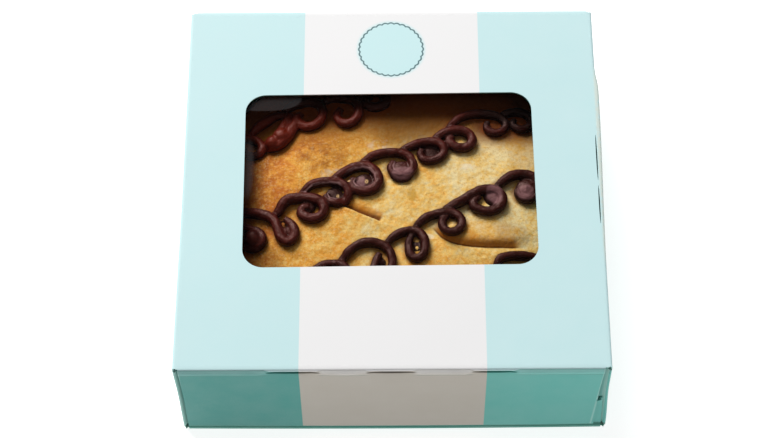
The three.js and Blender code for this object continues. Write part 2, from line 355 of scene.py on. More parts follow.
# Where the board is cut along its folds
cuts = {
    "endSpans": [(-33.1 * mm, -18.9 * mm), (-6.95 * mm, 6.0 * mm), (20.5 * mm, 32.4 * mm)],
    "endHigh": 0.88 * mm,
    "endLow": 2.0 * mm,
    "gap": (54.9 * mm, 16.2 * mm, 1.4 * mm, 1.7 * mm),    # in the front: its x, z, width and height
    "sideSpans": [(0.3 * mm, 15.0 * mm), (-13.4 * mm, -1.3 * mm)],
    "sideInset": 0.7 * mm,
    "sideWidth": 0.34 * mm,
}

# How far the board bows at the most
bows = {
    "lid": 0.2 * mm,
    "front": 0.3 * mm,
    "left": 0.25 * mm,
    "right": 0.5 * mm,
    "rightPush": 0.8 * mm,       # beside the cuts of the right fold
    "pushSpan": (-32 * mm, 30 * mm, 38 * mm),
    "cornerSpread": 0.35 * mm,
    "footOut": 0.3 * mm,
    "footRight": 0.8 * mm,
    "waves": 0.07 * mm,
    "waveLength": 24 * mm,
    "creaseBulge": 0.3 * mm,     # between an end fold's cuts, and the dip under them
    "cutDip": 0.12 * mm,
    "creaseFoot": 32.1 * mm,
    "creaseSoft": 2.2 * mm,
}


def near(value, target, reach=0.01 * mm):
    return abs(value - target) < reach


def foldOver(out, turn):    # rounds the selected edges from the way out into the way of turn
    radius = carton["fold"]
    done = Vector((0, 0, 0))
    for i in range(carton["foldSteps"]):
        angle = (i + 1) / carton["foldSteps"] * math.pi / 2
        place = out * radius * math.sin(angle) + turn * radius * (1 - math.cos(angle))
        pull(place - done)
        done = place


def openTube():
    fold = carton["fold"]
    sheet = startFrom(
        "foldedCarton", bpy.ops.mesh.primitive_cube_add,
        size=1, location=(0, 0, top / 2), stretch=(2 * half, 2 * (half - fold), top),
    )
    openMesh(sheet)
    grab(sheet, "FACE", lambda face: abs(face.normal.y) > 0.9)
    bpy.ops.mesh.delete(type="FACE")
    grab(sheet, "EDGE", lambda edge: span(edge, 1) > half)
    bpy.ops.mesh.bevel(offset=fold, segments=carton["foldSteps"], profile=0.5, affect="EDGES")
    for axis, count in ((0, carton["columns"]), (2, carton["rows"]), (1, carton["columns"])):
        grab(sheet, "EDGE", lambda edge: span(edge, axis) > 10 * fold)
        bpy.ops.mesh.subdivide(number_cuts=count - 1)
    rest = fold + carton["support"]
    columns = (carton["outerLeft"], carton["outerRight"], carton["cornerFrom"], half - rest)
    places = [(hand * x, 0, 0) for hand in (-1, 1) for x in columns]
    places += [(0, 0, z) for z in (rest, top - rest, carton["dustLow"], carton["dustHigh"])]
    places += [(0, hand * (half - fold - rest), 0) for hand in (-1, 1)]
    for place in places:
        bpy.ops.mesh.select_all(action="SELECT")
        bpy.ops.mesh.bisect(plane_co=place, plane_no=[1 if part else 0 for part in place])
    closeMesh()
    return sheet


def addFlaps(sheet, end):    # end is -1 at the front and 1 at the back, which is turned half round
    fold, layer = carton["fold"], carton["layer"]
    out = Vector((0, end, 0))
    rim = end * (half - fold)

    def grabRim(axis, place, low, high):    # the rim's edges on one panel, between low and high along it
        grab(sheet, "EDGE", lambda edge: all(
            near(vertex.co.y, rim) and near(vertex.co[axis], place)
            and low - slack < vertex.co[2 - axis] < high + slack for vertex in edge.verts))

    slack = 0.01 * mm
    corner = carton["cornerFrom"] + slack
    for height, shift in ((0, carton["cornerOut"]), (top, -carton["cornerBack"])):
        grab(sheet, "VERT", lambda vertex: near(vertex.co.y, rim) and near(vertex.co.z, height)
             and abs(vertex.co.x) > corner)
        bpy.ops.transform.translate(value=(0, end * shift, 0))
    setBack = 2 * layer - carton["dustStep"]
    grab(sheet, "VERT", lambda vertex: near(vertex.co.y, rim)
         and 0.1 * fold < vertex.co.z < top - 0.1 * fold)
    bpy.ops.transform.translate(value=(0, -end * setBack, 0))

    leftSide, rightSide = carton["outerLeft"], carton["outerRight"]
    grabRim(2, top, *((-leftSide, rightSide) if end < 0 else (-rightSide, leftSide)))
    foldOver(out, Vector((0, 0, -1)))
    foot = bows["creaseFoot"]
    heights = [top - fold + (foot - top + fold) * share for share in (0.25, 0.5, 0.75, 1)]
    heights += [foot - 0.3 * mm, foot - 1 * mm]
    heights += [heights[-1] + (carton["outerBottom"] - heights[-1]) * i / 12 for i in range(1, 13)]
    here = top - fold
    for height in heights:
        pull((0, 0, height - here))
        here = height

    grabRim(2, 0, -carton["bottomFlapSide"], carton["bottomFlapSide"])
    foldOver(out, Vector((0, 0, 1)))
    pull((0, 0, carton["bottomStep"] - fold))
    pull((0, -end * layer, carton["outerBottom"] - carton["bottomStep"]))
    for _ in range(6):
        pull((0, 0, (carton["bottomFlap"] - carton["outerBottom"]) / 6))

    rim -= end * setBack
    for hand in (-1, 1):
        grabRim(0, hand * half, carton["dustLow"], carton["dustHigh"])
        foldOver(out, Vector((-hand, 0, 0)))
        pull((-hand * carton["dustSlope"], -end * carton["dustStep"], 0))
        for _ in range(6):
            pull((-hand * carton["dustFlap"] / 6, 0, 0))
        bpy.ops.transform.resize(value=(1, 1, carton["dustTaper"]), center_override=(0, 0, top / 2))


def bridgeShare(x):    # 1 on the uncut stretches of an end fold, 0 at its cuts
    soft = bows["creaseSoft"]
    share = 1
    for start, stop in cuts["endSpans"]:
        inside = min(ease(x, start - soft / 2, start + soft / 2), ease(x, stop + soft / 2, stop - soft / 2))
        share = min(share, 1 - inside)
    return share


def bowed(co):    # where a point of the flat-sided carton lies once the board has bowed
    x, y, z = co
    end = -1 if y < 0 else 1
    across, along = 1 - (x / half) ** 2, 1 - (y / half) ** 2
    up = math.sin(math.pi * min(1, max(0, z / top)))
    wave = bows["waves"] * noise.noise(Vector(co) / bows["waveLength"])
    moved = Vector((x, y, z))
    moved.z += ease(z, top / 2, top) * (bows["lid"] * across * along + wave)
    atSide = ease(abs(x), half - 2 * mm, half - 0.5 * mm)
    moved.x += atSide * up * along * (bows["right"] if x > 0 else -bows["left"])
    if x > 0:
        front, middle, back = bows["pushSpan"]
        push = bows["rightPush"] * ease(y, back, middle) * ease(y, front, middle)
        moved.x += atSide * push * ease(z, top - 14 * mm, top - 4 * mm)
    atEnd = ease(abs(y), half - 3 * mm, half - 1.4 * mm)
    moved.y += end * atEnd * up * (bows["front"] * across + wave)
    spread = bows["cornerSpread"] * ease(-x, 45 * mm, half) * ease(-y, 0, half) * ease(z, top / 2, top)
    moved.x -= spread
    low = 1 - ease(z, 0, 0.7 * top)
    moved.x += low * bows["footRight"] * ease(x, 0, half) * ease(-y, 0, half)
    if y < 0:
        moved.y -= low * atEnd * bows["footOut"] * (1 + across)
    isOuterFlap = abs(y) > half - 0.05 * mm and z > carton["outerBottom"] - 0.01 * mm
    if isOuterFlap:
        bridge = bridgeShare(-end * x)
        under = top - carton["fold"]
        drop = (under - z) / (under - bows["creaseFoot"])
        swell = math.sin(math.pi * min(1, max(0, drop)))
        uneven = 1 + 0.5 * noise.noise(Vector((x / (7 * mm), end, 0)))
        moved.y += end * bows["creaseBulge"] * bridge * swell * uneven
        moved.y -= end * bows["cutDip"] * (1 - bridge) * swell
        lean = (carton["outerRight"] - carton["outerRightBelow"]) * (top - z) / top
        moved.x += end * lean * ease(-end * x, 40 * mm, carton["outerRight"])
    return moved


def cutWith(sheet, cutter, finish):    # the cut's faces take the finish
    cutter.data.materials.append(finish)
    finishWith(sheet, "BOOLEAN", object=cutter, operation="DIFFERENCE", solver="EXACT",
               material_mode="TRANSFER")
    bpy.data.objects.remove(cutter)


def windowCutter():
    cutter = startFrom(
        "windowCutter", bpy.ops.mesh.primitive_cube_add, size=1, location=(*window["middle"], top),
        stretch=(window["width"], window["depth"], 6 * carton["board"]),
        rotation=(0, 0, math.radians(window["turn"])),
    )
    openMesh(cutter)
    grab(cutter, "EDGE", lambda edge: span(edge, 2) > carton["board"])
    bpy.ops.mesh.bevel(offset=window["corner"], segments=14, profile=0.5, affect="EDGES")
    closeMesh()
    return cutter


def foldCutters():    # the cuts along the folds, tapering to their ends
    places = []
    for start, stop in cuts["endSpans"]:
        for end in (-1, 1):
            middle = (-end * (start + stop) / 2, end * half, top - (cuts["endHigh"] + cuts["endLow"]) / 2)
            size = (stop - start, cuts["endLow"] - cuts["endHigh"], 2 * mm)
            places.append((middle, size, (math.pi / 2, 0, 0)))
    x, z, wide, tall = cuts["gap"]
    places.append(((x, 1 * mm - half, z), (wide, tall, 3.4 * mm), (math.pi / 2, 0, 0)))
    right = half - cuts["sideInset"]
    for start, stop in cuts["sideSpans"]:
        middle = (right - cuts["sideWidth"] / 2, (start + stop) / 2, top)
        places.append((middle, (cuts["sideWidth"], stop - start, 3 * mm), (0, 0, 0)))
    return [
        startFrom("foldCutter", bpy.ops.mesh.primitive_cylinder_add, vertices=24, radius=0.5, depth=1,
                  location=middle, stretch=size, rotation=turn) for middle, size, turn in places
    ]


# The print: screen colours of its teal and white, and where it changes
printing = {
    "lidTeal": (202, 236, 238),
    # The walls' teal and white are the print, darkened as painted shade of the front, which faces away from
    # the lamp
    "shadedWallTeal": (50, 148, 139),
    "litRightTeal": (84, 183, 172),    # towards the right of an end, painted light
    "shadedFootTeal": (62, 150, 134),
    "lidWhite": (244, 243, 243),
    "shadedWallWhite": (188, 181, 169),
    "band": 24.5 * mm,              # half the white band's width
    "foot": 2.5 * mm,               # the top of the plain teal foot
    "sideEdge": 1.55 * mm,          # how far the lid's print reaches down the sides
    "cutRise": 0.5 * mm,            # how far it reaches down at the cuts of an end fold
    "waver": 0.9 * mm,
    "soft": 0.1 * mm,
}

# A plain scalloped ring on a pale disc
seal = {
    "x": -0.1 * mm,
    "y": 43.8 * mm,
    "disc": 10.3 * mm,
    "ring": 8.75 * mm,
    "scallop": 0.36 * mm,
    "lobes": 16,
}


def sealShares(f, isLid):    # where the disc is, and where its ring is
    dx, dy = f.x - seal["x"], f.y - seal["y"]
    reach = (dx * dx + dy * dy) ** 0.5
    ring = seal["ring"] + seal["scallop"] * abs((dy.angleTo(dx) * seal["lobes"]).cosine())
    onRing = abs(reach - ring).ease(0.32 * mm, 0.14 * mm)
    return reach.ease(seal["disc"], seal["disc"] - 1.5 * mm) * isLid, onRing * isLid


def printedBoard():
    f = Finish("printedBoard")
    soft = printing["soft"]
    outX = f.x * f.y.sign() * -1    # along an end, to the right as it is faced
    inCut = 0
    for start, stop in cuts["endSpans"]:
        begun = outX.ease(start - 0.8 * mm, start + 1.2 * mm)
        inCut = inCut + begun * outX.ease(stop + 0.8 * mm, stop - 1.2 * mm)
    onEnd = abs(f.y).ease(half - 1 * mm, half - 0.6 * mm)
    lidEdge = top - 0.16 * mm - inCut * onEnd * printing["cutRise"]
    isLid = (f.z - lidEdge).ease(-0.06 * mm, 0.08 * mm)
    onSide = abs(f.x).ease(half - 0.6 * mm, half - 0.2 * mm) * (1 - onEnd)
    sideEdge = top - printing["sideEdge"]
    isLid = isLid.most(onSide * f.z.ease(sideEdge - 1.5 * soft, sideEdge + 1.5 * soft))
    inBand = abs(f.x).ease(printing["band"] + soft, printing["band"] - soft)
    aboveFoot = f.z.ease(printing["foot"] - soft, printing["foot"] + soft)

    # Between an end fold's cuts the board is creased: a painted highlight lightens its bulging strip, and a
    # painted shadow line marks the crease's foot
    waver = (f.noise(6 * mm, 1) - 0.5) * printing["waver"]
    creased = onEnd * (1 - inCut) * (1 - isLid)
    foldHighlight = (f.z + waver).ease(bows["creaseFoot"] - 0.2 * mm, top - 0.3 * mm) * creased
    creaseShadowLine = abs(f.z + waver * 0.4 - bows["creaseFoot"]).ease(0.5 * mm, 0.1 * mm) * creased
    # Painted light: an end's teal grows lighter towards its right
    litRightward = (outX.ease(-50 * mm, 50 * mm) - 0.5) * onEnd + 0.5
    wall = f.blend(litRightward, tint(*printing["shadedWallTeal"]), tint(*printing["litRightTeal"]))
    # Painted shade: the foot under the band turns a deeper teal
    wall = f.blend(aboveFoot, tint(*printing["shadedFootTeal"]), wall)
    teal = f.blend((isLid + foldHighlight * 0.3).least(1), wall, tint(*printing["lidTeal"]))
    whites = [tint(*printing[name]) for name in ("shadedWallWhite", "lidWhite")]
    white = f.blend((isLid + foldHighlight * 0.6).least(1), *whites)

    # Beside the outer flap its bare edge shows, and the dust flap behind it
    lean = (carton["outerRight"] - carton["outerRightBelow"]) / top
    flapEdge = carton["outerRight"] - (top - f.z) * lean
    onFlap = abs(f.y).ease(half - 0.3 * mm, half - 0.2 * mm) * (1 - isLid) * aboveFoot
    bare = abs(outX - flapEdge).ease(0.36 * mm, 0.14 * mm) * onFlap
    behind = outX.ease(53.2 * mm, 53.3 * mm) * abs(f.y).ease(half - 0.3 * mm, half - 0.5 * mm) * (1 - isLid)
    behind = behind * abs(f.y).ease(half - 2.4 * mm, half - 1.6 * mm)
    behind = behind.most(outX.ease(-55.6 * mm, -55.8 * mm) * onEnd * (1 - isLid) * 0.8)
    behind = behind * (0.1 + 0.4 * abs(outX).ease(carton["outerRight"], half - 1 * mm))

    # The right fold is rubbed pale beside its cuts
    rubbed = f.x.ease(half - 0.8 * mm, half - 0.1 * mm) * f.z.ease(top - 1.7 * mm, top - 1.2 * mm)
    rubbed = rubbed * f.y.ease(40 * mm, 32 * mm) * f.y.ease(-28 * mm, -20 * mm)
    rubbed = rubbed * f.noise(1.5 * mm, 2).ease(0.2, 0.5)

    disc, ring = sealShares(f, isLid)
    mottle = f.noise(9 * mm, 3, 0.55)
    fibre = f.noise(0.35 * mm, 3, 0.6)
    colour = f.paint(f.blend(inBand * aboveFoot, teal, white), [
        # painted shadow line at the crease's foot
        (creaseShadowLine * 0.3, (56, 92, 86)),
        (bare * 0.35, (190, 226, 218)),
        (behind, (190, 226, 216)),
        (rubbed * 0.7, (222, 228, 214)),
        (disc, (203, 238, 240)),
        (ring * 0.95, (46, 94, 100)),
        ((mottle - 0.5) * 0.12 + (fibre - 0.5) * 0.05 + 0.04, (255, 255, 255)),
    ])
    relief = f.bump(fibre * 0.35 + f.noise(1.6 * mm, 2) * 0.65, 0.02 * mm, 0.35)
    return f.surface({
        "Base Color": colour, "Roughness": 0.55 + (mottle - 0.5) * 0.14, "Normal": relief,
        "Specular IOR Level": 0.32, "Coat Weight": 0.05, "Coat Roughness": 0.35,
    })


def rawBoard():
    f = Finish("rawBoard")
    fibre = f.noise(0.3 * mm, 3, 0.6)
    colour = f.blend(fibre.ease(0.3, 0.7), tint(226, 222, 210), tint(246, 244, 237))
    return f.surface({"Base Color": colour, "Roughness": 0.85, "Normal": f.bump(fibre, 0.04 * mm, 0.5)})


def shadedCutBoard():    # the board's grey middle where it is cut, darkened as painted shade of the dark insides of the cuts
    f = Finish("shadedCutBoard")
    colour = f.blend(f.noise(0.3 * mm, 3, 0.6).ease(0.3, 0.7), tint(84, 66, 56), tint(112, 92, 80))
    return f.surface({"Base Color": colour, "Roughness": 0.95})


def makeCarton():
    board, raw, cutCoreShade = printedBoard(), rawBoard(), shadedCutBoard()
    sheet = openTube()
    openMesh(sheet)
    addFlaps(sheet, -1)
    addFlaps(sheet, 1)
    bpy.ops.mesh.select_all(action="SELECT")
    bpy.ops.mesh.normals_make_consistent(inside=False)
    closeMesh()
    moveEach(sheet, bowed)
    sheet.data.materials.append(board)
    sheet.data.materials.append(raw)
    finishWith(sheet, "SOLIDIFY", thickness=carton["board"], offset=-1, material_offset=1,
               material_offset_rim=1, use_even_offset=True)
    cutWith(sheet, windowCutter(), raw)
    for cutter in foldCutters():
        cutWith(sheet, cutter, cutCoreShade)
    finishWith(sheet, "BEVEL", width=carton["edgeWear"], segments=1, limit_method="ANGLE",
               angle_limit=math.radians(50), material=1)
    smoothShade(sheet, 35)
    handOver(sheet, [board, raw, cutCoreShade], "carton_board", "carton")


makeCarton()
print("carton ready")


# The crust and the icing are shaped in millimetres, as their solids are

crust = {
    "edge": 47,
    "crown": 29.3,
    "drop": 4.4,
    "leanX": 4,
    "leanY": 1,
    "lipTop": 25.2,
    "lipUnder": 23.6,
    "lip": 50.6,
    "wallTop": (21, 47.2),
    "floor": (1.7, 38.4),
    "bend": 1.4,
    "ringStep": 0.36,
    "segments": 400,
    "crimps": 44,
    "crimpDepth": 0.5,
    "onTop": 26.2,         # points above this are on the top, and those above nearTop carry its marks
    "nearTop": 25,
}
lumps = [(0.15, 0.31, 0.12, 0.7), (0.12, -0.11, 0.27, 2.1), (0.15, 0.17, -0.23, 1.9)]

# A slit, with its lower side standing up, and a crease whose upper side bulges over the lower one
slit = {"from": (-13.6, -4.3), "to": (-3.9, -8.7), "lift": 0.35, "deep": 1.3, "wide": 2.2}
crease = {
    "points": [(12.4, -13.1, 0), (14.5, -16.3, 0), (20.0, -17.6, 0), (32.4, -16.9, 0)],
    "steps": 12,
    "lift": 0.95,
    "near": ((5, 40), (-24, -4)),
}
creaseCurve = geometry.interpolate_bezier(*map(Vector, crease["points"]), crease["steps"])
creases = [{"from": tuple(a[:2]), "to": tuple(b[:2])} for a, b in zip(creaseCurve, creaseCurve[1:])]

# Where the crust stands up in a loop: its place, reach and rise
mounds = [(19.3, 15.9, 0.9, 0.6), (16.3, -11.4, 0.9, 0.7), (26.0, -4.4, 1.2, 0.5), (6.6, -17.6, 0.8, 0.5)]


def fade(distance, reach):    # falls from 1 to nothing with distance
    return math.exp(-((distance / reach) ** 2))


def beside(x, y, line):    # how far a place lies above a line, and beyond its ends
    (x0, y0), (x1, y1) = line["from"], line["to"]
    dx, dy = x1 - x0, y1 - y0
    length = math.hypot(dx, dy)
    along = ((x - x0) * dx + (y - y0) * dy) / length
    across = ((y - y0) * dx - (x - x0) * dy) / length
    return across, max(0, -along, along - length)


def slitRelief(x, y):
    across, beyond = beside(x, y, slit)
    share = min(1, max(0, (x - slit["from"][0]) / (slit["to"][0] - slit["from"][0])))
    lower = 0.5 - 0.5 * math.tanh(across / (0.12 + beyond))
    rise = slit["lift"] * lower * fade(across, 4.2) * fade(beyond, 2.4)
    wide = slit["wide"] * (1 - 0.45 * share * share)
    trough = slit["deep"] * (1 - 0.7 * share * share) * (1 - lower) * fade(across, wide) * fade(beyond, 1.4)
    return rise - trough


def linePlace(x, y, lines):    # how far a place lies across a chain of lines, and beyond its ends
    return min((beside(x, y, line) for line in lines), key=lambda place: (place[1], abs(place[0])))


def creaseRelief(x, y):
    (left, right), (front, back) = crease["near"]
    if not (left < x < right and front < y < back):
        return 0
    across, beyond = linePlace(x, y, creases)
    upper = 0.5 + 0.5 * math.tanh((across - 0.9) / (0.7 + 0.6 * beyond))
    swell = upper * fade(across - 2.2, 3.6)
    return crease["lift"] * (swell - 0.25 * fade(across, 0.5)) * fade(beyond, 3.4)


def crustTop(x, y):
    reach = math.hypot(x - crust["leanX"], y - crust["leanY"]) / crust["edge"]
    dome = crust["crown"] - crust["drop"] * reach ** 4
    lumpy = sum(rise * math.sin(ax * x + ay * y + shift) for rise, ax, ay, shift in lumps)
    pushed = sum(rise * fade(math.hypot(x - atX, y - atY), reach) for atX, atY, reach, rise in mounds)
    return max(dome + lumpy + slitRelief(x, y) + creaseRelief(x, y) + pushed, crust["lipTop"])


# Piped icing. Each loop is its rope's half width and its way over the crust. Each pool is its place, reach
# and top, where a loop has run together.

icing = {
    "restGap": -0.1,
    "northward": 0.35,
    "flat": 0.8,           # a rope's height against its width
    "lift": 0.45,
    "buried": 1.0,         # how far a loop starts below its height
    "filmUnder": 34,
    "voxel": 0.2,
    "sink": 0.5,
    "foot": 0.12,          # how much wider a rope's foot is
    "sides": 32,
    "seed": 7,
}
loops = {
    "icing_row_1": [
        (1.39, [(-43.9, 17.8), (-41.4, 19.1), (-38.8, 18.9), (-36.7, 17.0), (-36.5, 14.5), (-38.3, 13.4),
         (-40.7, 14.2), (-41.4, 16.1)]),
        (1.5, [(-40.0, 19.6), (-38.0, 22.6), (-35.0, 25.0), (-32.2, 26.4), (-29.6, 26.2)]),
        (1.75, [(-34.6, 15.5), (-32.6, 15.5), (-30.7, 16.6), (-29.2, 18.5), (-28.0, 20.8), (-26.9, 23.1),
         (-26.4, 25.8)]),
        (1.6, [(-35.2, 17.1), (-33.2, 17.9), (-31.6, 19.2), (-30.3, 21.6), (-29.4, 23.9), (-28.6, 26.7)]),
        (1.48, [(-31.2, 26.8), (-28.7, 28.8), (-25.6, 30.1), (-22.4, 30.3), (-19.9, 28.4), (-19.4, 25.4),
         (-20.7, 22.7), (-23.1, 21.6), (-25.6, 22.6), (-26.6, 24.9), (-25.3, 26.5)]),
        (1.48, [(-19.9, 29.6), (-17.4, 31.2), (-14.1, 31.2), (-10.8, 29.8), (-9.3, 26.9), (-9.7, 24.0),
         (-12.0, 22.0), (-14.5, 22.9), (-15.3, 25.4), (-14.2, 27.4)]),
        (1.48, [(-11.0, 30.2), (-8.5, 32.4), (-5.0, 33.3), (-2.3, 31.8), (-1.5, 29.4), (-3.2, 27.6),
         (-5.8, 27.6), (-7.3, 29.5), (-6.0, 31.2)]),
        (1.39, [(-3.5, 33.2), (-1.0, 36.1), (2.5, 38.8), (5.5, 38.6), (7.3, 36.4), (6.4, 34.2),
         (3.8, 33.5), (1.8, 35.1), (2.6, 36.9)]),
    ],
    "icing_row_2": [
        (1.39, [(-43.9, -8.4), (-41.9, -9.0), (-38.9, -10.5), (-36.2, -12.0), (-35.2, -14.0),
         (-36.2, -15.6), (-38.6, -15.9), (-40.7, -14.7), (-40.3, -12.7)]),
        (1.52, [(-43.4, -4.8), (-40.3, -5.2), (-37.2, -5.9), (-34.4, -7.0), (-32.0, -9.0),
         (-31.1, -11.5), (-30.3, -13.9), (-28.4, -15.5), (-26.8, -14.4), (-26.6, -12.1), (-27.8, -9.8),
         (-29.4, -8.3)]),
        (1.57, [(-32.6, -7.1), (-31.1, -5.8), (-30.0, -3.8), (-28.5, -2.4), (-26.3, -2.0), (-23.9, -2.0),
         (-21.3, -2.6), (-19.2, -4.0), (-18.5, -6.1), (-19.3, -7.9), (-21.2, -8.7), (-23.4, -8.2),
         (-24.8, -6.8), (-24.2, -5.2), (-22.6, -5.0)]),
        (1.39, [(-25.7, -1.7), (-24.1, 0.3), (-22.3, 1.9), (-19.8, 2.7), (-17.0, 2.9), (-14.3, 2.4),
         (-12.3, 0.8), (-11.9, -1.4), (-13.1, -3.3), (-15.4, -4.0), (-17.5, -3.0), (-18.1, -1.2)]),
        (1.52, [(-17.2, 3.0), (-15.2, 4.3), (-13.0, 5.9), (-10.6, 7.3), (-8.0, 7.7), (-5.6, 6.9),
         (-4.0, 4.8), (-3.8, 2.1), (-5.2, 0.3), (-7.8, -0.3), (-10.2, 0.5), (-11.1, 2.4), (-10.2, 4.0)]),
        (1.39, [(-9.5, 8.1), (-7.6, 9.4), (-5.5, 10.8), (-3.0, 11.7), (-0.3, 12.0), (2.3, 11.9),
         (4.5, 10.8), (5.7, 8.7), (5.6, 6.4), (4.2, 5.0), (2.0, 4.7), (0.2, 5.6), (-0.2, 7.3), (0.6, 9.2)]),
        (1.35, [(1.5, 12.4), (4.0, 13.6), (6.5, 14.7), (9.2, 15.5), (11.9, 15.3), (14.0, 14.0),
         (14.4, 11.9), (13.0, 10.2), (10.8, 9.5), (8.7, 10.0), (7.9, 11.6), (8.4, 13.2)]),
        (1.48, [(11.0, 15.7), (12.8, 17.1), (14.8, 18.3), (17.2, 19.0), (19.8, 18.9), (21.8, 17.6),
         (22.3, 15.6), (21.1, 13.9), (18.8, 13.5), (16.8, 14.3), (16.0, 15.9), (17.0, 17.2)]),
        (1.3, [(15.0, 19.3), (16.8, 21.4), (18.8, 23.4), (21.3, 24.7), (24.6, 25.3), (27.9, 25.0),
         (30.7, 23.8), (31.8, 21.6), (30.5, 19.6), (28.1, 19.1), (26.4, 20.7), (26.9, 22.7)]),
        (1.3, [(29.6, 24.3), (32.1, 25.6), (35.2, 26.5), (38.0, 25.9), (39.1, 23.7), (37.8, 21.4),
         (35.3, 20.8), (33.8, 22.2), (34.5, 24.0)]),
    ],
    "icing_row_3": [
        (1.3, [(-28.2, -30.7), (-26.5, -28.8), (-23.9, -27.5), (-21.4, -27.5), (-19.9, -29.2),
         (-20.6, -31.1), (-22.9, -31.6), (-24.5, -30.0)]),
        (1.3, [(-22.6, -25.9), (-20.9, -24.0), (-18.7, -22.9), (-16.1, -22.6), (-13.4, -23.3),
         (-11.8, -25.3), (-12.2, -27.5), (-14.4, -28.4), (-16.7, -27.5), (-17.3, -25.5)]),
        (1.39, [(-15.0, -22.8), (-13.3, -21.2), (-12.0, -19.5), (-10.2, -17.8), (-8.0, -16.6),
         (-5.5, -16.4), (-3.0, -17.1), (-1.0, -18.8), (-0.1, -21.2), (-0.1, -23.8), (-1.2, -26.2),
         (-3.4, -27.2), (-5.1, -25.9), (-4.8, -23.6), (-4.1, -21.4), (-3.4, -19.7)]),
        (1.35, [(-2.3, -17.4), (-0.9, -15.9), (0.8, -14.3), (2.9, -13.3), (5.3, -12.9), (7.3, -13.7),
         (8.6, -15.7), (8.9, -18.2), (8.2, -20.5), (6.5, -21.5), (4.9, -20.3), (4.4, -18.0),
         (4.6, -15.9), (5.4, -14.2)]),
        (1.35, [(5.9, -12.1), (7.3, -10.6), (9.0, -9.0), (11.2, -8.0), (13.7, -7.5), (16.3, -7.5),
         (18.3, -8.7), (19.0, -10.7), (18.3, -12.6), (16.4, -13.8), (14.4, -13.1), (13.6, -11.1),
         (14.0, -9.6), (15.0, -8.4)]),
        (1.52, [(13.3, -7.0), (15.3, -5.7), (17.5, -4.5), (19.8, -3.2), (22.0, -1.6), (24.5, -0.4),
         (27.2, -0.1), (29.4, -1.1), (30.2, -3.2), (29.1, -5.6), (26.6, -6.9), (24.0, -6.5),
         (22.2, -5.0), (22.6, -3.4), (24.0, -2.2)]),
        (1.52, [(28.5, 1.0), (30.7, 3.0), (33.1, 4.6), (36.1, 5.2), (39.0, 4.2), (40.3, 2.0),
         (39.4, -0.8), (37.1, -2.4), (34.9, -1.6), (34.4, 0.5)]),
    ],
    "icing_row_4": [
        (1.3, [(-1.4, -36.6), (1.0, -35.2), (3.6, -35.4), (4.8, -37.4), (3.2, -39.2), (0.9, -38.6)]),
        (1.3, [(5.8, -35.8), (8.4, -33.6), (11.3, -33.2), (13.0, -35.0), (12.1, -37.2), (9.7, -37.3)]),
        (1.3, [(13.4, -32.4), (16.0, -30.2), (19.0, -29.6), (21.0, -31.2), (20.2, -33.6), (17.7, -34.0)]),
        (1.3, [(21.0, -28.6), (23.6, -26.6), (26.4, -26.4), (28.2, -28.2), (27.4, -30.6), (24.9, -31.0)]),
        (1.3, [(27.7, -25.4), (28.1, -23.0), (29.1, -21.2), (31.1, -20.4), (33.9, -20.0), (36.8, -19.9),
         (39.2, -20.4), (40.3, -22.3), (39.3, -24.3), (37.0, -25.2), (35.2, -24.2)]),
    ],
}
pools = {
    "icing_row_1": [(-33.2, 16.8, 2.3, 30.6), (-30.8, 18.8, 2.6, 30.9)],
    "icing_row_2": [(-7.6, 2.8, 3.2, 30.6), (-15.9, -0.9, 2.6, 30.1), (2.6, 6.1, 3.6, 31.4),
        (10.8, 12.6, 2.8, 30.0), (-28.7, -12.3, 1.9, 30.0), (-38.0, -13.2, 2.6, 29.7),
        (-22.6, -4.6, 1.8, 30.2)],
    "icing_row_3": [(37.2, 0.8, 3.5, 30.7), (-3.0, -22.0, 1.4, 30.2), (27.9, -1.9, 3.0, 30.9),
        (6.6, -17.2, 1.6, 29.9)],
}


def crustUnder(x, y, radius):    # what a round rope's underside must clear
    aside = math.sqrt(0.5) * radius
    turns = [i * math.pi / 3 for i in range(6)]
    spots = [(x + aside * math.cos(turn), y + aside * math.sin(turn)) for turn in turns]
    return max(crustTop(x, y), *[crustTop(*spot) - icing["flat"] * (radius - aside) for spot in spots])


def ropePoints(loop, draw, isLifted):    # in millimetres, with the rope's swell at each point
    radius, way = loop
    points = []
    for i, (x, y) in enumerate(way):
        share = i / (len(way) - 1)
        rest = crustUnder(x, y + icing["northward"], radius) + icing["restGap"] + icing["flat"] * radius
        lift = icing["lift"] * (1 - ease(share, 0.45, 0.75)) - icing["buried"] * (1 - ease(share, 0, 0.14))
        ends = min(1, 0.7 + 0.2 * min(i, len(way) - 1 - i))
        swell = ends * (0.96 + draw.uniform(-0.07, 0.07))
        height = rest + (lift if isLifted else min(0, lift))
        points.append((Vector((x, y + icing["northward"], height)), swell))
    return points


def ropeProfile(radius):    # upright, with a flat foot
    curve = bpy.data.curves.new("ropeProfile", "CURVE")
    spline = curve.splines.new("POLY")
    spline.points.add(icing["sides"] - 1)
    high = icing["flat"] * radius
    for i, point in enumerate(spline.points):
        angle = 2 * math.pi * i / icing["sides"]
        x, y = radius * math.cos(angle), high * math.sin(angle)
        foot = ease(-y, 0, high)
        point.co = (x * (1 + icing["foot"] * foot) * mm, (y - icing["sink"] * foot) * mm, 0, 1)
    spline.use_cyclic_u = True
    return putObject("ropeProfile", curve)


def sweepRope(loop, draw, isLifted):
    profile = ropeProfile(loop[0])
    curve = bpy.data.curves.new("rope", "CURVE")
    curve.dimensions = "3D"
    curve.twist_mode = "Z_UP"
    curve.resolution_u = 6
    curve.use_fill_caps = True
    curve.bevel_mode = "OBJECT"
    curve.bevel_object = profile
    points = ropePoints(loop, draw, isLifted)
    spline = curve.splines.new("BEZIER")
    spline.bezier_points.add(len(points) - 1)
    for bezier, (place, swell) in zip(spline.bezier_points, points):
        bezier.co = place * mm
        bezier.handle_left_type = bezier.handle_right_type = "AUTO"
        bezier.radius = swell
    pickOnly(putObject("rope", curve))
    bpy.ops.object.convert(target="MESH")
    bpy.data.objects.remove(profile)
    return bpy.context.object


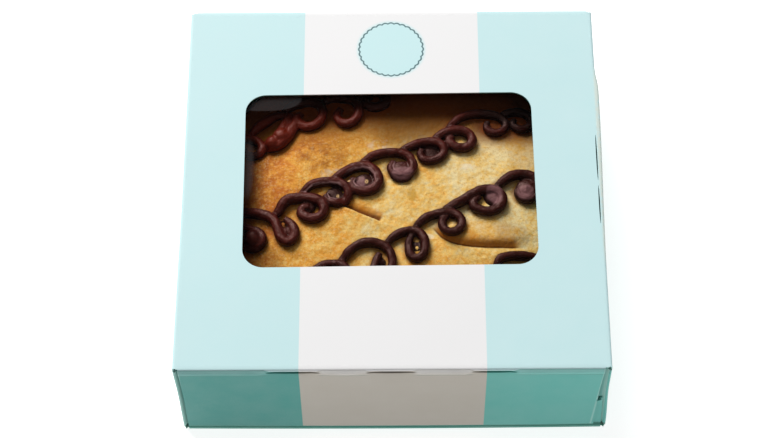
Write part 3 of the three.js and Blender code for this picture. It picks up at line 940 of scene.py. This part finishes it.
def ropeWay(name):    # close points along the row's ropes, with where each is and the way it runs
    spots = []
    for radius, way in loops[name]:
        along = 0
        for (x0, y0), (x1, y1) in zip(way, way[1:]):
            dx, dy = x1 - x0, y1 - y0
            length = math.hypot(dx, dy)
            steps = max(1, round(length / 0.3))
            for share in [i / steps for i in range(steps)]:
                place = Vector((x0 + dx * share, y0 + dy * share + icing["northward"], 0))
                spots.append((place, (dx / length, dy / length), along + length * share, radius))
            along += length
    return spots


def nearestOf(spots):
    tree = kdtree.KDTree(len(spots))
    for i, spot in enumerate(spots):
        tree.insert(spot[0], i)
    tree.balance()
    return tree


def markRope(rope, name):    # each point's height over the crust, and its place along and round its rope
    spots = ropeWay(name)
    tree = nearestOf(spots)
    heights, places = [], []
    for vertex in rope.data.vertices:
        x, y, z = vertex.co / mm
        _, index, _ = tree.find(Vector((x, y, 0)))
        place, (dx, dy), along, radius = spots[index]
        across = (x - place.x) * dy - (y - place.y) * dx
        rise = z - crustTop(x, y)
        heights.append(rise)
        places += [along, radius * math.atan2(across, rise - 0.6 * radius), 0]
    rope.data.attributes.new("rise", "FLOAT", "POINT").data.foreach_set("value", heights)
    rope.data.attributes.new("ropePlace", "FLOAT_VECTOR", "POINT").data.foreach_set("vector", places)


def makeIcingRow(name, finish):
    draw = random.Random(icing["seed"] + len(loops[name]))
    pieces = [sweepRope(loop, draw, isLifted) for loop in loops[name] for isLifted in (False, True)]
    for x, y, reach, high in pools.get(name, []):
        low = crustTop(x, y) - 0.5
        pieces.append(startFrom("pool", bpy.ops.mesh.primitive_uv_sphere_add, segments=24, ring_count=14,
                                radius=mm, location=(x * mm, y * mm, (low + high) / 2 * mm),
                                stretch=(reach, reach, (high - low) / 2)))
    rope = pieces[0]
    rope.name = "piped" + name.title().replace("_", "")
    for piece in pieces:
        piece.select_set(True)
    bpy.context.view_layer.objects.active = rope
    bpy.ops.object.join()
    finishWith(rope, "REMESH", mode="VOXEL", voxel_size=icing["voxel"] * mm)
    finishWith(rope, "SMOOTH", factor=0.5, iterations=4)
    ruffle(rope, 1.9 * mm, 1, 0.2 * mm, 1)
    moveEach(rope, lambda co: Vector((co.x, co.y, min(co.z, icing["filmUnder"] * mm))))
    markRope(rope, name)
    smoothShade(rope)
    print(name, len(rope.data.polygons), "faces")
    handOver(rope, [finish], "chocolate_icing", name)


# Places seen through the film, in millimetres: x, y, reach across and reach along
crumbs = [(-14.9, -1.4, 0.5, 0.8), (-11.9, 2.9, 0.6, 0.5), (-7.0, 3.0, 0.6, 0.8)]
sheenSmudges = [(2.9, 5.2, 3.5, 2.3), (28.0, -1.6, 2.6, 3.4), (36.6, -0.6, 2.6, 2.6), (-8.6, 3.0, 1.6, 2.0)]
glints = [(-17.2, 0.4, 3.8, 4.2), (-23.4, 1.6, 4.0, 2.2), (-8.4, 4.6, 4.6, 4.4), (0.2, 8.2, 1.6, 2.4)]


def icingFinish():
    f = Finish("chocolateIcing")
    tone = f.noise(6 * mm, 2)
    fine = f.noise(0.4 * mm, 3, 0.6)
    rise = f.read("rise")
    place = f.read("ropePlace", "Vector")
    around = f.part(place, "Y")
    combed = f.add("ShaderNodeVectorMath", {"operation": "MULTIPLY"}, {0: place, 1: (0.25, 1.1, 1)})
    streaks = f.noise(1, 3, 0.6, combed).ease(0.32, 0.68)
    redder = (f.y - f.x * 0.55).ease(22 * mm, 34 * mm)
    # Painted shade on the icing under the lid's back edge, at the back right and at the left edge
    icingShade = (f.y.ease(23.5 * mm, 28 * mm) * 0.85).most(f.spot(36, 26, 16, 7, 0.9) * 0.9)
    icingShade = icingShade.most(f.spot(-41, 14.5, 4.6, 5, 0.6) * 0.8)
    # Painted sheen, smudged, where the icing lies against the film
    sheenSmudge = f.spots(sheenSmudges, 0.7) * rise.ease(0.9, 1.6)
    glint = f.spots(glints, 0.6) * around.ease(0.2, 0.6) * around.ease(1.3, 0.8) * streaks
    colour = f.paint(f.blend(tone.ease(0.35, 0.65), tint(44, 8, 4), tint(58, 13, 7)), [
        # painted sheen along the ropes' crests
        (rise.ease(1.3, 2.3) * (0.1 + 0.5 * streaks), (96, 29, 20)),
        (redder * 0.8, (110, 30, 10)),
        # painted shade on the ropes' low flanks
        (rise.ease(1.6, 0.4) * 0.85, (30, 7, 2)),
        (icingShade, (16, 6, 4)),
        ((f.y - f.x * 0.5).ease(-5 * mm, -12 * mm) * 0.5, (24, 5, 2)),
        (sheenSmudge * (0.45 + 0.5 * streaks), (132, 90, 92)),
        (glint * 0.65, (206, 160, 158)),
        (f.spots(crumbs, 0.9) * fine.ease(0.36, 0.5), (212, 172, 118)),
    ])
    return f.surface({
        "Base Color": colour, "Roughness": 0.42 + (streaks - 0.5) * 0.16,
        "Normal": f.bump(streaks * 0.7 + fine * 0.3, 0.12 * mm, 0.8),
        "Specular IOR Level": 0.28, "Specular Tint": (1, 0.58, 0.5, 1),
    })


chocolate = icingFinish()
for rowName in loops:
    makeIcingRow(rowName, chocolate)
print("icing ready")


# The pie's crust, a turned form with its surface worked over

def crustProfile():    # from the middle of the top to the middle of the underside
    count = round(crust["edge"] / crust["ringStep"])
    rings = [(crust["edge"] * (i + 1) / count, None) for i in range(count)]
    lip, under, over = crust["lip"], crust["lipUnder"], crust["lipTop"]
    rings += [(lip - 2.3, over - 0.1), (lip - 1.2, over), (lip - 0.5, over - 0.15)]
    rings += [(lip, (over + under) / 2), (lip - 0.5, under + 0.1), (lip - 1.5, under)]
    wallHigh, wallOut = crust["wallTop"]
    floorLow, floorOut = crust["floor"]
    bend = crust["bend"]
    rings += [(wallOut + 0.3, under - 0.2), (wallOut, wallHigh)]
    for i in range(1, 8):
        across, down = (floorOut - wallOut) * i / 8, (floorLow + bend - wallHigh) * i / 8
        rings.append((wallOut + across, wallHigh + down))
    rings += [(floorOut, floorLow + bend), (floorOut - 0.4 * bend, floorLow + 0.3 * bend)]
    rings.append((floorOut - bend, floorLow))
    rings += [(floorOut * share, floorLow) for share in (0.8, 0.6, 0.4, 0.2, 0.05)]
    return rings


def soakAndShadeShare():    # how near a place is to the icing, except where the crust stands clean in a loop: a soaked fringe, also painted shade beside the ropes
    spots = [spot for name in loops for spot in ropeWay(name)]
    tree = nearestOf(spots)

    def share(x, y):
        _, index, distance = tree.find(Vector((x, y, 0)))
        clean = max(fade(math.hypot(x - atX, y - atY), 1.5 * reach) for atX, atY, reach, _ in mounds)
        return (1 - ease(distance - spots[index][3], -0.3, 1.7)) * (1 - clean)

    return share


def makeCrust():
    rings = crustProfile()
    pie = startFrom("bakedPie", bpy.ops.mesh.primitive_uv_sphere_add, segments=crust["segments"],
                    ring_count=len(rings) + 1, radius=1)
    count = len(rings) + 1

    def onRing(co):
        k = round(math.acos(max(-1, min(1, co.z))) / math.pi * count)
        if k == 0:
            return Vector((0, 0, crustTop(0, 0))) * mm
        if k == count:
            return Vector((0, 0, crust["floor"][0])) * mm
        radius, height = rings[k - 1]
        angle = math.atan2(co.y, co.x)
        x, y = radius * math.cos(angle), radius * math.sin(angle)
        if height is None:
            return Vector((x, y, crustTop(x, y))) * mm
        crimp = 0
        if radius > crust["lip"] - 3 and height > crust["lipUnder"]:
            crimp = crust["crimpDepth"] * (abs(math.cos(crust["crimps"] * angle / 2)) - 0.5)
        return Vector((x, y, height + crimp)) * mm

    moveEach(pie, onRing)
    openMesh(pie)
    onTop, nearTop = crust["onTop"], crust["nearTop"] * mm

    def byLine(face):
        x, y, z = face.calc_center_median() / mm
        places = (beside(x, y, line) for line in [slit, *creases])
        return z > onTop and any(abs(across) < 2.2 and beyond < 1 for across, beyond in places)

    def onCrust(co):
        if math.hypot(co.x, co.y) < crust["edge"] * mm * 0.999 and co.z > onTop * mm:
            return Vector((co.x, co.y, crustTop(co.x / mm, co.y / mm) * mm))
        return co

    grab(pie, "FACE", byLine)
    bpy.ops.mesh.subdivide(number_cuts=1)
    closeMesh()
    moveEach(pie, onCrust)
    ruffle(pie, 3.4 * mm, 2, 0.34 * mm)
    ruffle(pie, 1.1 * mm, 1, 0.1 * mm)
    share = soakAndShadeShare()
    values = [share(v.co.x / mm, v.co.y / mm) if v.co.z > nearTop else 0 for v in pie.data.vertices]
    pie.data.attributes.new("soaked", "FLOAT", "POINT").data.foreach_set("value", values)
    for name, lines in (("slitPlace", [slit]), ("creasePlace", creases)):
        places = []
        for vertex in pie.data.vertices:
            across, beyond = linePlace(vertex.co.x / mm, vertex.co.y / mm, lines)
            places += [across, beyond if vertex.co.z > nearTop else 9, 0]
        pie.data.attributes.new(name, "FLOAT_VECTOR", "POINT").data.foreach_set("vector", places)
    smoothShade(pie)
    handOver(pie, [crustFinish()], "baked_crust", "pie")


def linePlaces(f, name, soft):    # how far across a line, and 1 between its ends
    place = f.read(name, "Vector")
    return f.part(place, "X"), f.part(place, "Y").ease(soft, 0.05)


# Pale floury patches of the crust that also carry painted sheen, orange patches, and golden ones, the first
# of which is painted shade above the crease; placed as the marks on the icing are
flouryAndSheen = [(-16, 6, 4, 2.4), (-3, 15.5, 4.5, 2), (21, 8, 3, 1.6), (9, -14, 3, 1.2)]
orange = [(-29, 8, 6, 5), (-33, 1, 5, 5)]
goldenAndShade = [(23.5, -12.5, 12, 5), (38, 11, 7, 9)]


def crustFinish():
    f = Finish("bakedCrust")
    patch = f.noise(10 * mm, 3, 0.55)
    mottle = f.noise(2.2 * mm, 4, 0.6)
    grain = f.noise(0.7 * mm, 4, 0.7)
    moved = f.add("ShaderNodeVectorMath", {"operation": "ADD"}, {0: f.place, 1: (0.3, 0.3, 0.3)})
    speck = f.noise(0.45 * mm, 2, 0.5, moved)
    crumb = f.add("ShaderNodeTexVoronoi", {}, {"Vector": f.place, "Scale": 1 / (1.15 * mm)}, "Distance")
    soaked = f.read("soaked")

    toasted = (f.y * 0.45 - f.x * 0.9).ease(0 * mm, 34 * mm)
    bake = toasted * 0.55 + (patch - 0.5) * 1.1 + (mottle - 0.5) * (0.7 + 0.6 * toasted)
    bake = bake + (crumb - 0.45) * 0.25 + (f.y.ease(0, -24 * mm) - f.x.ease(6 * mm, 34 * mm)) * 0.14 + 0.21
    stops = [
        (0.0, tint(255, 232, 172)), (0.25, tint(255, 208, 114)), (0.5, tint(248, 175, 68)),
        (0.75, tint(234, 152, 54)), (1.0, tint(198, 106, 28)),
    ]
    colour = f.add("ShaderNodeValToRGB", {"stops": stops}, {0: bake.most(0).least(1)}, "Color")
    # Painted shade where the lid's edges shadow the crust at the back, the left and the back right, and
    # beside the crease's right end; it also browns the crust
    shadeAndBrowning = (f.y.ease(14 * mm, 26.5 * mm) * 0.97).most((-1 * f.x).ease(34.5 * mm, 40.5 * mm) * 0.9)
    shadeAndBrowning = shadeAndBrowning.most(f.spot(32, 26, 16, 12, 0.9) * 0.95)
    shadeAndBrowning = shadeAndBrowning.most(f.spot(-37, -22, 9, 9, 0.9) * 0.55).most(f.spot(33, -13, 6, 4, 0.9) * 0.32)
    # Painted shade reaching down below the lid's back edge at the middle, and a mottled darker patch on the
    # left
    shadeAndDarkPatch = f.spot(5, 20.5, 13, 7.5, 0.95) * 0.58
    shadeAndDarkPatch = shadeAndDarkPatch.most(f.spot(-19, 12, 9, 6, 0.98) * mottle.ease(0.3, 0.62) * 0.4)
    stain = (((f.x - 5.4 * mm) * 1.6) ** 2 + (f.y + 0.6 * mm) ** 2).ease(6.5 * mm * mm, 1.5 * mm * mm)
    slitX, inSlit = linePlaces(f, "slitPlace", 0.9)
    creaseX, inCrease = linePlaces(f, "creasePlace", 3.0)
    colour = f.paint(colour, [
        (grain.ease(0.5, 0.66) * 0.38, (255, 230, 168)),
        (grain.ease(0.5, 0.34) * (0.28 + 0.3 * toasted), (204, 124, 30)),
        (speck.ease(0.57, 0.7) * (0.3 + 0.25 * toasted), (176, 100, 26)),
        # pale floury patches, also painted sheen
        (f.spots(flouryAndSheen, 0.9) * mottle.ease(0.4, 0.6) * 0.6, (255, 246, 218)),
        (f.spots(orange, 0.9) * mottle.ease(0.4, 0.62) * 0.15, (222, 118, 26)),
        # painted shade: the first, golden-brown stage of the darkening towards the lid's back edge
        (f.y.ease(10 * mm, 21 * mm) * 0.5, (196, 128, 36)),
        (shadeAndBrowning, (108, 44, 2)),
        (shadeAndDarkPatch, (120, 72, 14)),
        # golden patches; the one above the crease is painted shade of its flank
        (f.spots(goldenAndShade, 0.95) * 0.32, (176, 112, 26)),
        # soaked fringe beside the icing, also painted shade under the ropes
        (soaked * soaked * 0.7, (136, 60, 14)),
        (stain * 0.6, (206, 150, 34)),
        # the slit's orange trough: its own colour with painted shade
        (slitX.ease(0, 0.3) * slitX.ease(3.6, 1.8) * inSlit * 0.75, (210, 130, 32)),
        # painted shade at the bottom of the trough beside the lip
        (slitX.ease(-0.05, 0.1) * slitX.ease(1.9, 0.8) * inSlit * 0.85, (98, 42, 6)),
        # painted highlight along the slit's raised lip
        (slitX.ease(-1.0, -0.3) * slitX.ease(0.05, -0.08) * inSlit * 0.15, (255, 228, 150)),
        # painted shade on the crease's overhanging flank
        (creaseX.ease(0, 0.2) * creaseX.ease(3.6, 0.7) * inCrease * 0.9, (184, 108, 24)),
        # painted shadow line under the crease's lip
        (creaseX.ease(-0.14, 0.02) * creaseX.ease(0.55, 0.12) * inCrease * 0.85, (96, 44, 6)),
    ])
    return f.surface({
        "Base Color": colour, "Roughness": 0.62 + (grain - 0.5) * 0.3,
        "Normal": f.bump(grain * 0.45 + speck * 0.25 + crumb * 0.3, 0.26 * mm, 1.0),
        "Specular IOR Level": 0.18, "Specular Tint": (1, 0.85, 0.6, 1),
    })


makeCrust()
print("pie ready")


# The foil tin

tin = {
    "pleats": 72,
    "pleatDepth": 0.35 * mm,
    "pleatsFrom": (2.3 * mm, 8 * mm),
    "pleatsTo": (21.3 * mm, 22.2 * mm),
    "foil": 0.2 * mm,
    "rings": [(38.0, 0.8), (39.1, 1.1), (39.5, 2.2), (42.2, 8.0), (45.2, 14.2), (48.4, 21.2), (48.8, 22.2),
              (51.6, 22.6), (52.1, 22.5), (52.3, 22.1), (52.1, 21.7)],
}


def foilFinish():
    f = Finish("pressedFoil")
    crinkle = f.noise(2.2 * mm, 4, 0.6)
    colour = f.blend(crinkle, tint(196, 198, 200), tint(226, 228, 230))
    return f.surface({
        "Base Color": colour, "Metallic": 1.0, "Roughness": 0.28 + crinkle * 0.14,
        "Normal": f.bump(crinkle, 0.25 * mm, 0.6),
    })


def makeTin():
    first = tin["rings"][0]
    dish = startFrom("pressedTin", bpy.ops.mesh.primitive_circle_add, vertices=2 * tin["pleats"],
                     radius=first[0] * mm, fill_type="TRIFAN", location=(0, 0, first[1] * mm))
    openMesh(dish)
    grab(dish, "EDGE", lambda edge: edge.is_boundary)
    for (lastOut, lastHigh), (out, high) in zip(tin["rings"], tin["rings"][1:]):
        pull((0, 0, (high - lastHigh) * mm))
        bpy.ops.transform.resize(value=(out / lastOut, out / lastOut, 1), center_override=(0, 0, 0))
    bpy.ops.mesh.select_all(action="SELECT")
    bpy.ops.mesh.normals_make_consistent(inside=False)
    closeMesh()

    def pleated(co):
        spoke = round(math.atan2(co.y, co.x) / math.pi * tin["pleats"])
        onWall = ease(co.z, *tin["pleatsFrom"]) * (1 - ease(co.z, *tin["pleatsTo"]))
        scale = 1 - onWall * (spoke % 2) * tin["pleatDepth"] / max(1 * mm, math.hypot(co.x, co.y))
        return Vector((co.x * scale, co.y * scale, co.z))

    moveEach(dish, pleated)
    finishWith(dish, "SOLIDIFY", thickness=tin["foil"], offset=1)
    smoothShade(dish, 30)
    handOver(dish, [foilFinish()], "foil", "foil_tin")


makeTin()
print("tin ready")


# The clear film glued under the lid

film = {
    "margin": 7.5 * mm,
    "thick": 0.05 * mm,
    "ripple": 0.16 * mm,
    "rippleLength": 26 * mm,
}


def filmFinish():
    f = Finish("clearFilm")
    clear = f.add("ShaderNodeBsdfTransparent", {}, {"Color": (0.995, 0.995, 0.995, 1)})
    # Painted reflection: a lens-shaped patch at the back left and a smear down the left edge
    paintedReflection = (f.spot(-36, 28.6, 11.3, 4.9, 0.12) * 0.6 + f.spot(-39.6, 5, 2.2, 11, 0.9) * 0.6).least(1)
    colour = f.blend(paintedReflection, (0.02, 0.02, 0.02, 1), (0.4, 0.37, 0.38, 1))
    values = {"Base Color": colour, "Roughness": 0.06, "Specular IOR Level": 1.0}
    shiny = f.add("ShaderNodeBsdfPrincipled", {}, values)
    edgeOn = f.add("ShaderNodeLayerWeight", {}, {"Blend": 0.12}, "Fresnel")
    share = 0.02 + edgeOn * 0.2 + paintedReflection * 0.05
    return f.show(f.add("ShaderNodeMixShader", {}, {0: share, 1: clear, 2: shiny}))


def makeFilm():
    low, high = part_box("window_film")
    size = (window["width"] + 2 * film["margin"], window["depth"] + 2 * film["margin"], 1)
    sheet = startFrom("windowSheet", bpy.ops.mesh.primitive_grid_add, x_subdivisions=72, y_subdivisions=52,
                      size=1, location=(*window["middle"], (low.z + high.z) / 2), stretch=size)
    ruffle(sheet, film["rippleLength"], 2, film["ripple"])
    finishWith(sheet, "SOLIDIFY", thickness=film["thick"], offset=0)
    smoothShade(sheet, 40)
    handOver(sheet, [filmFinish()], "clear_film", "window_film")


makeFilm()
print("film ready")
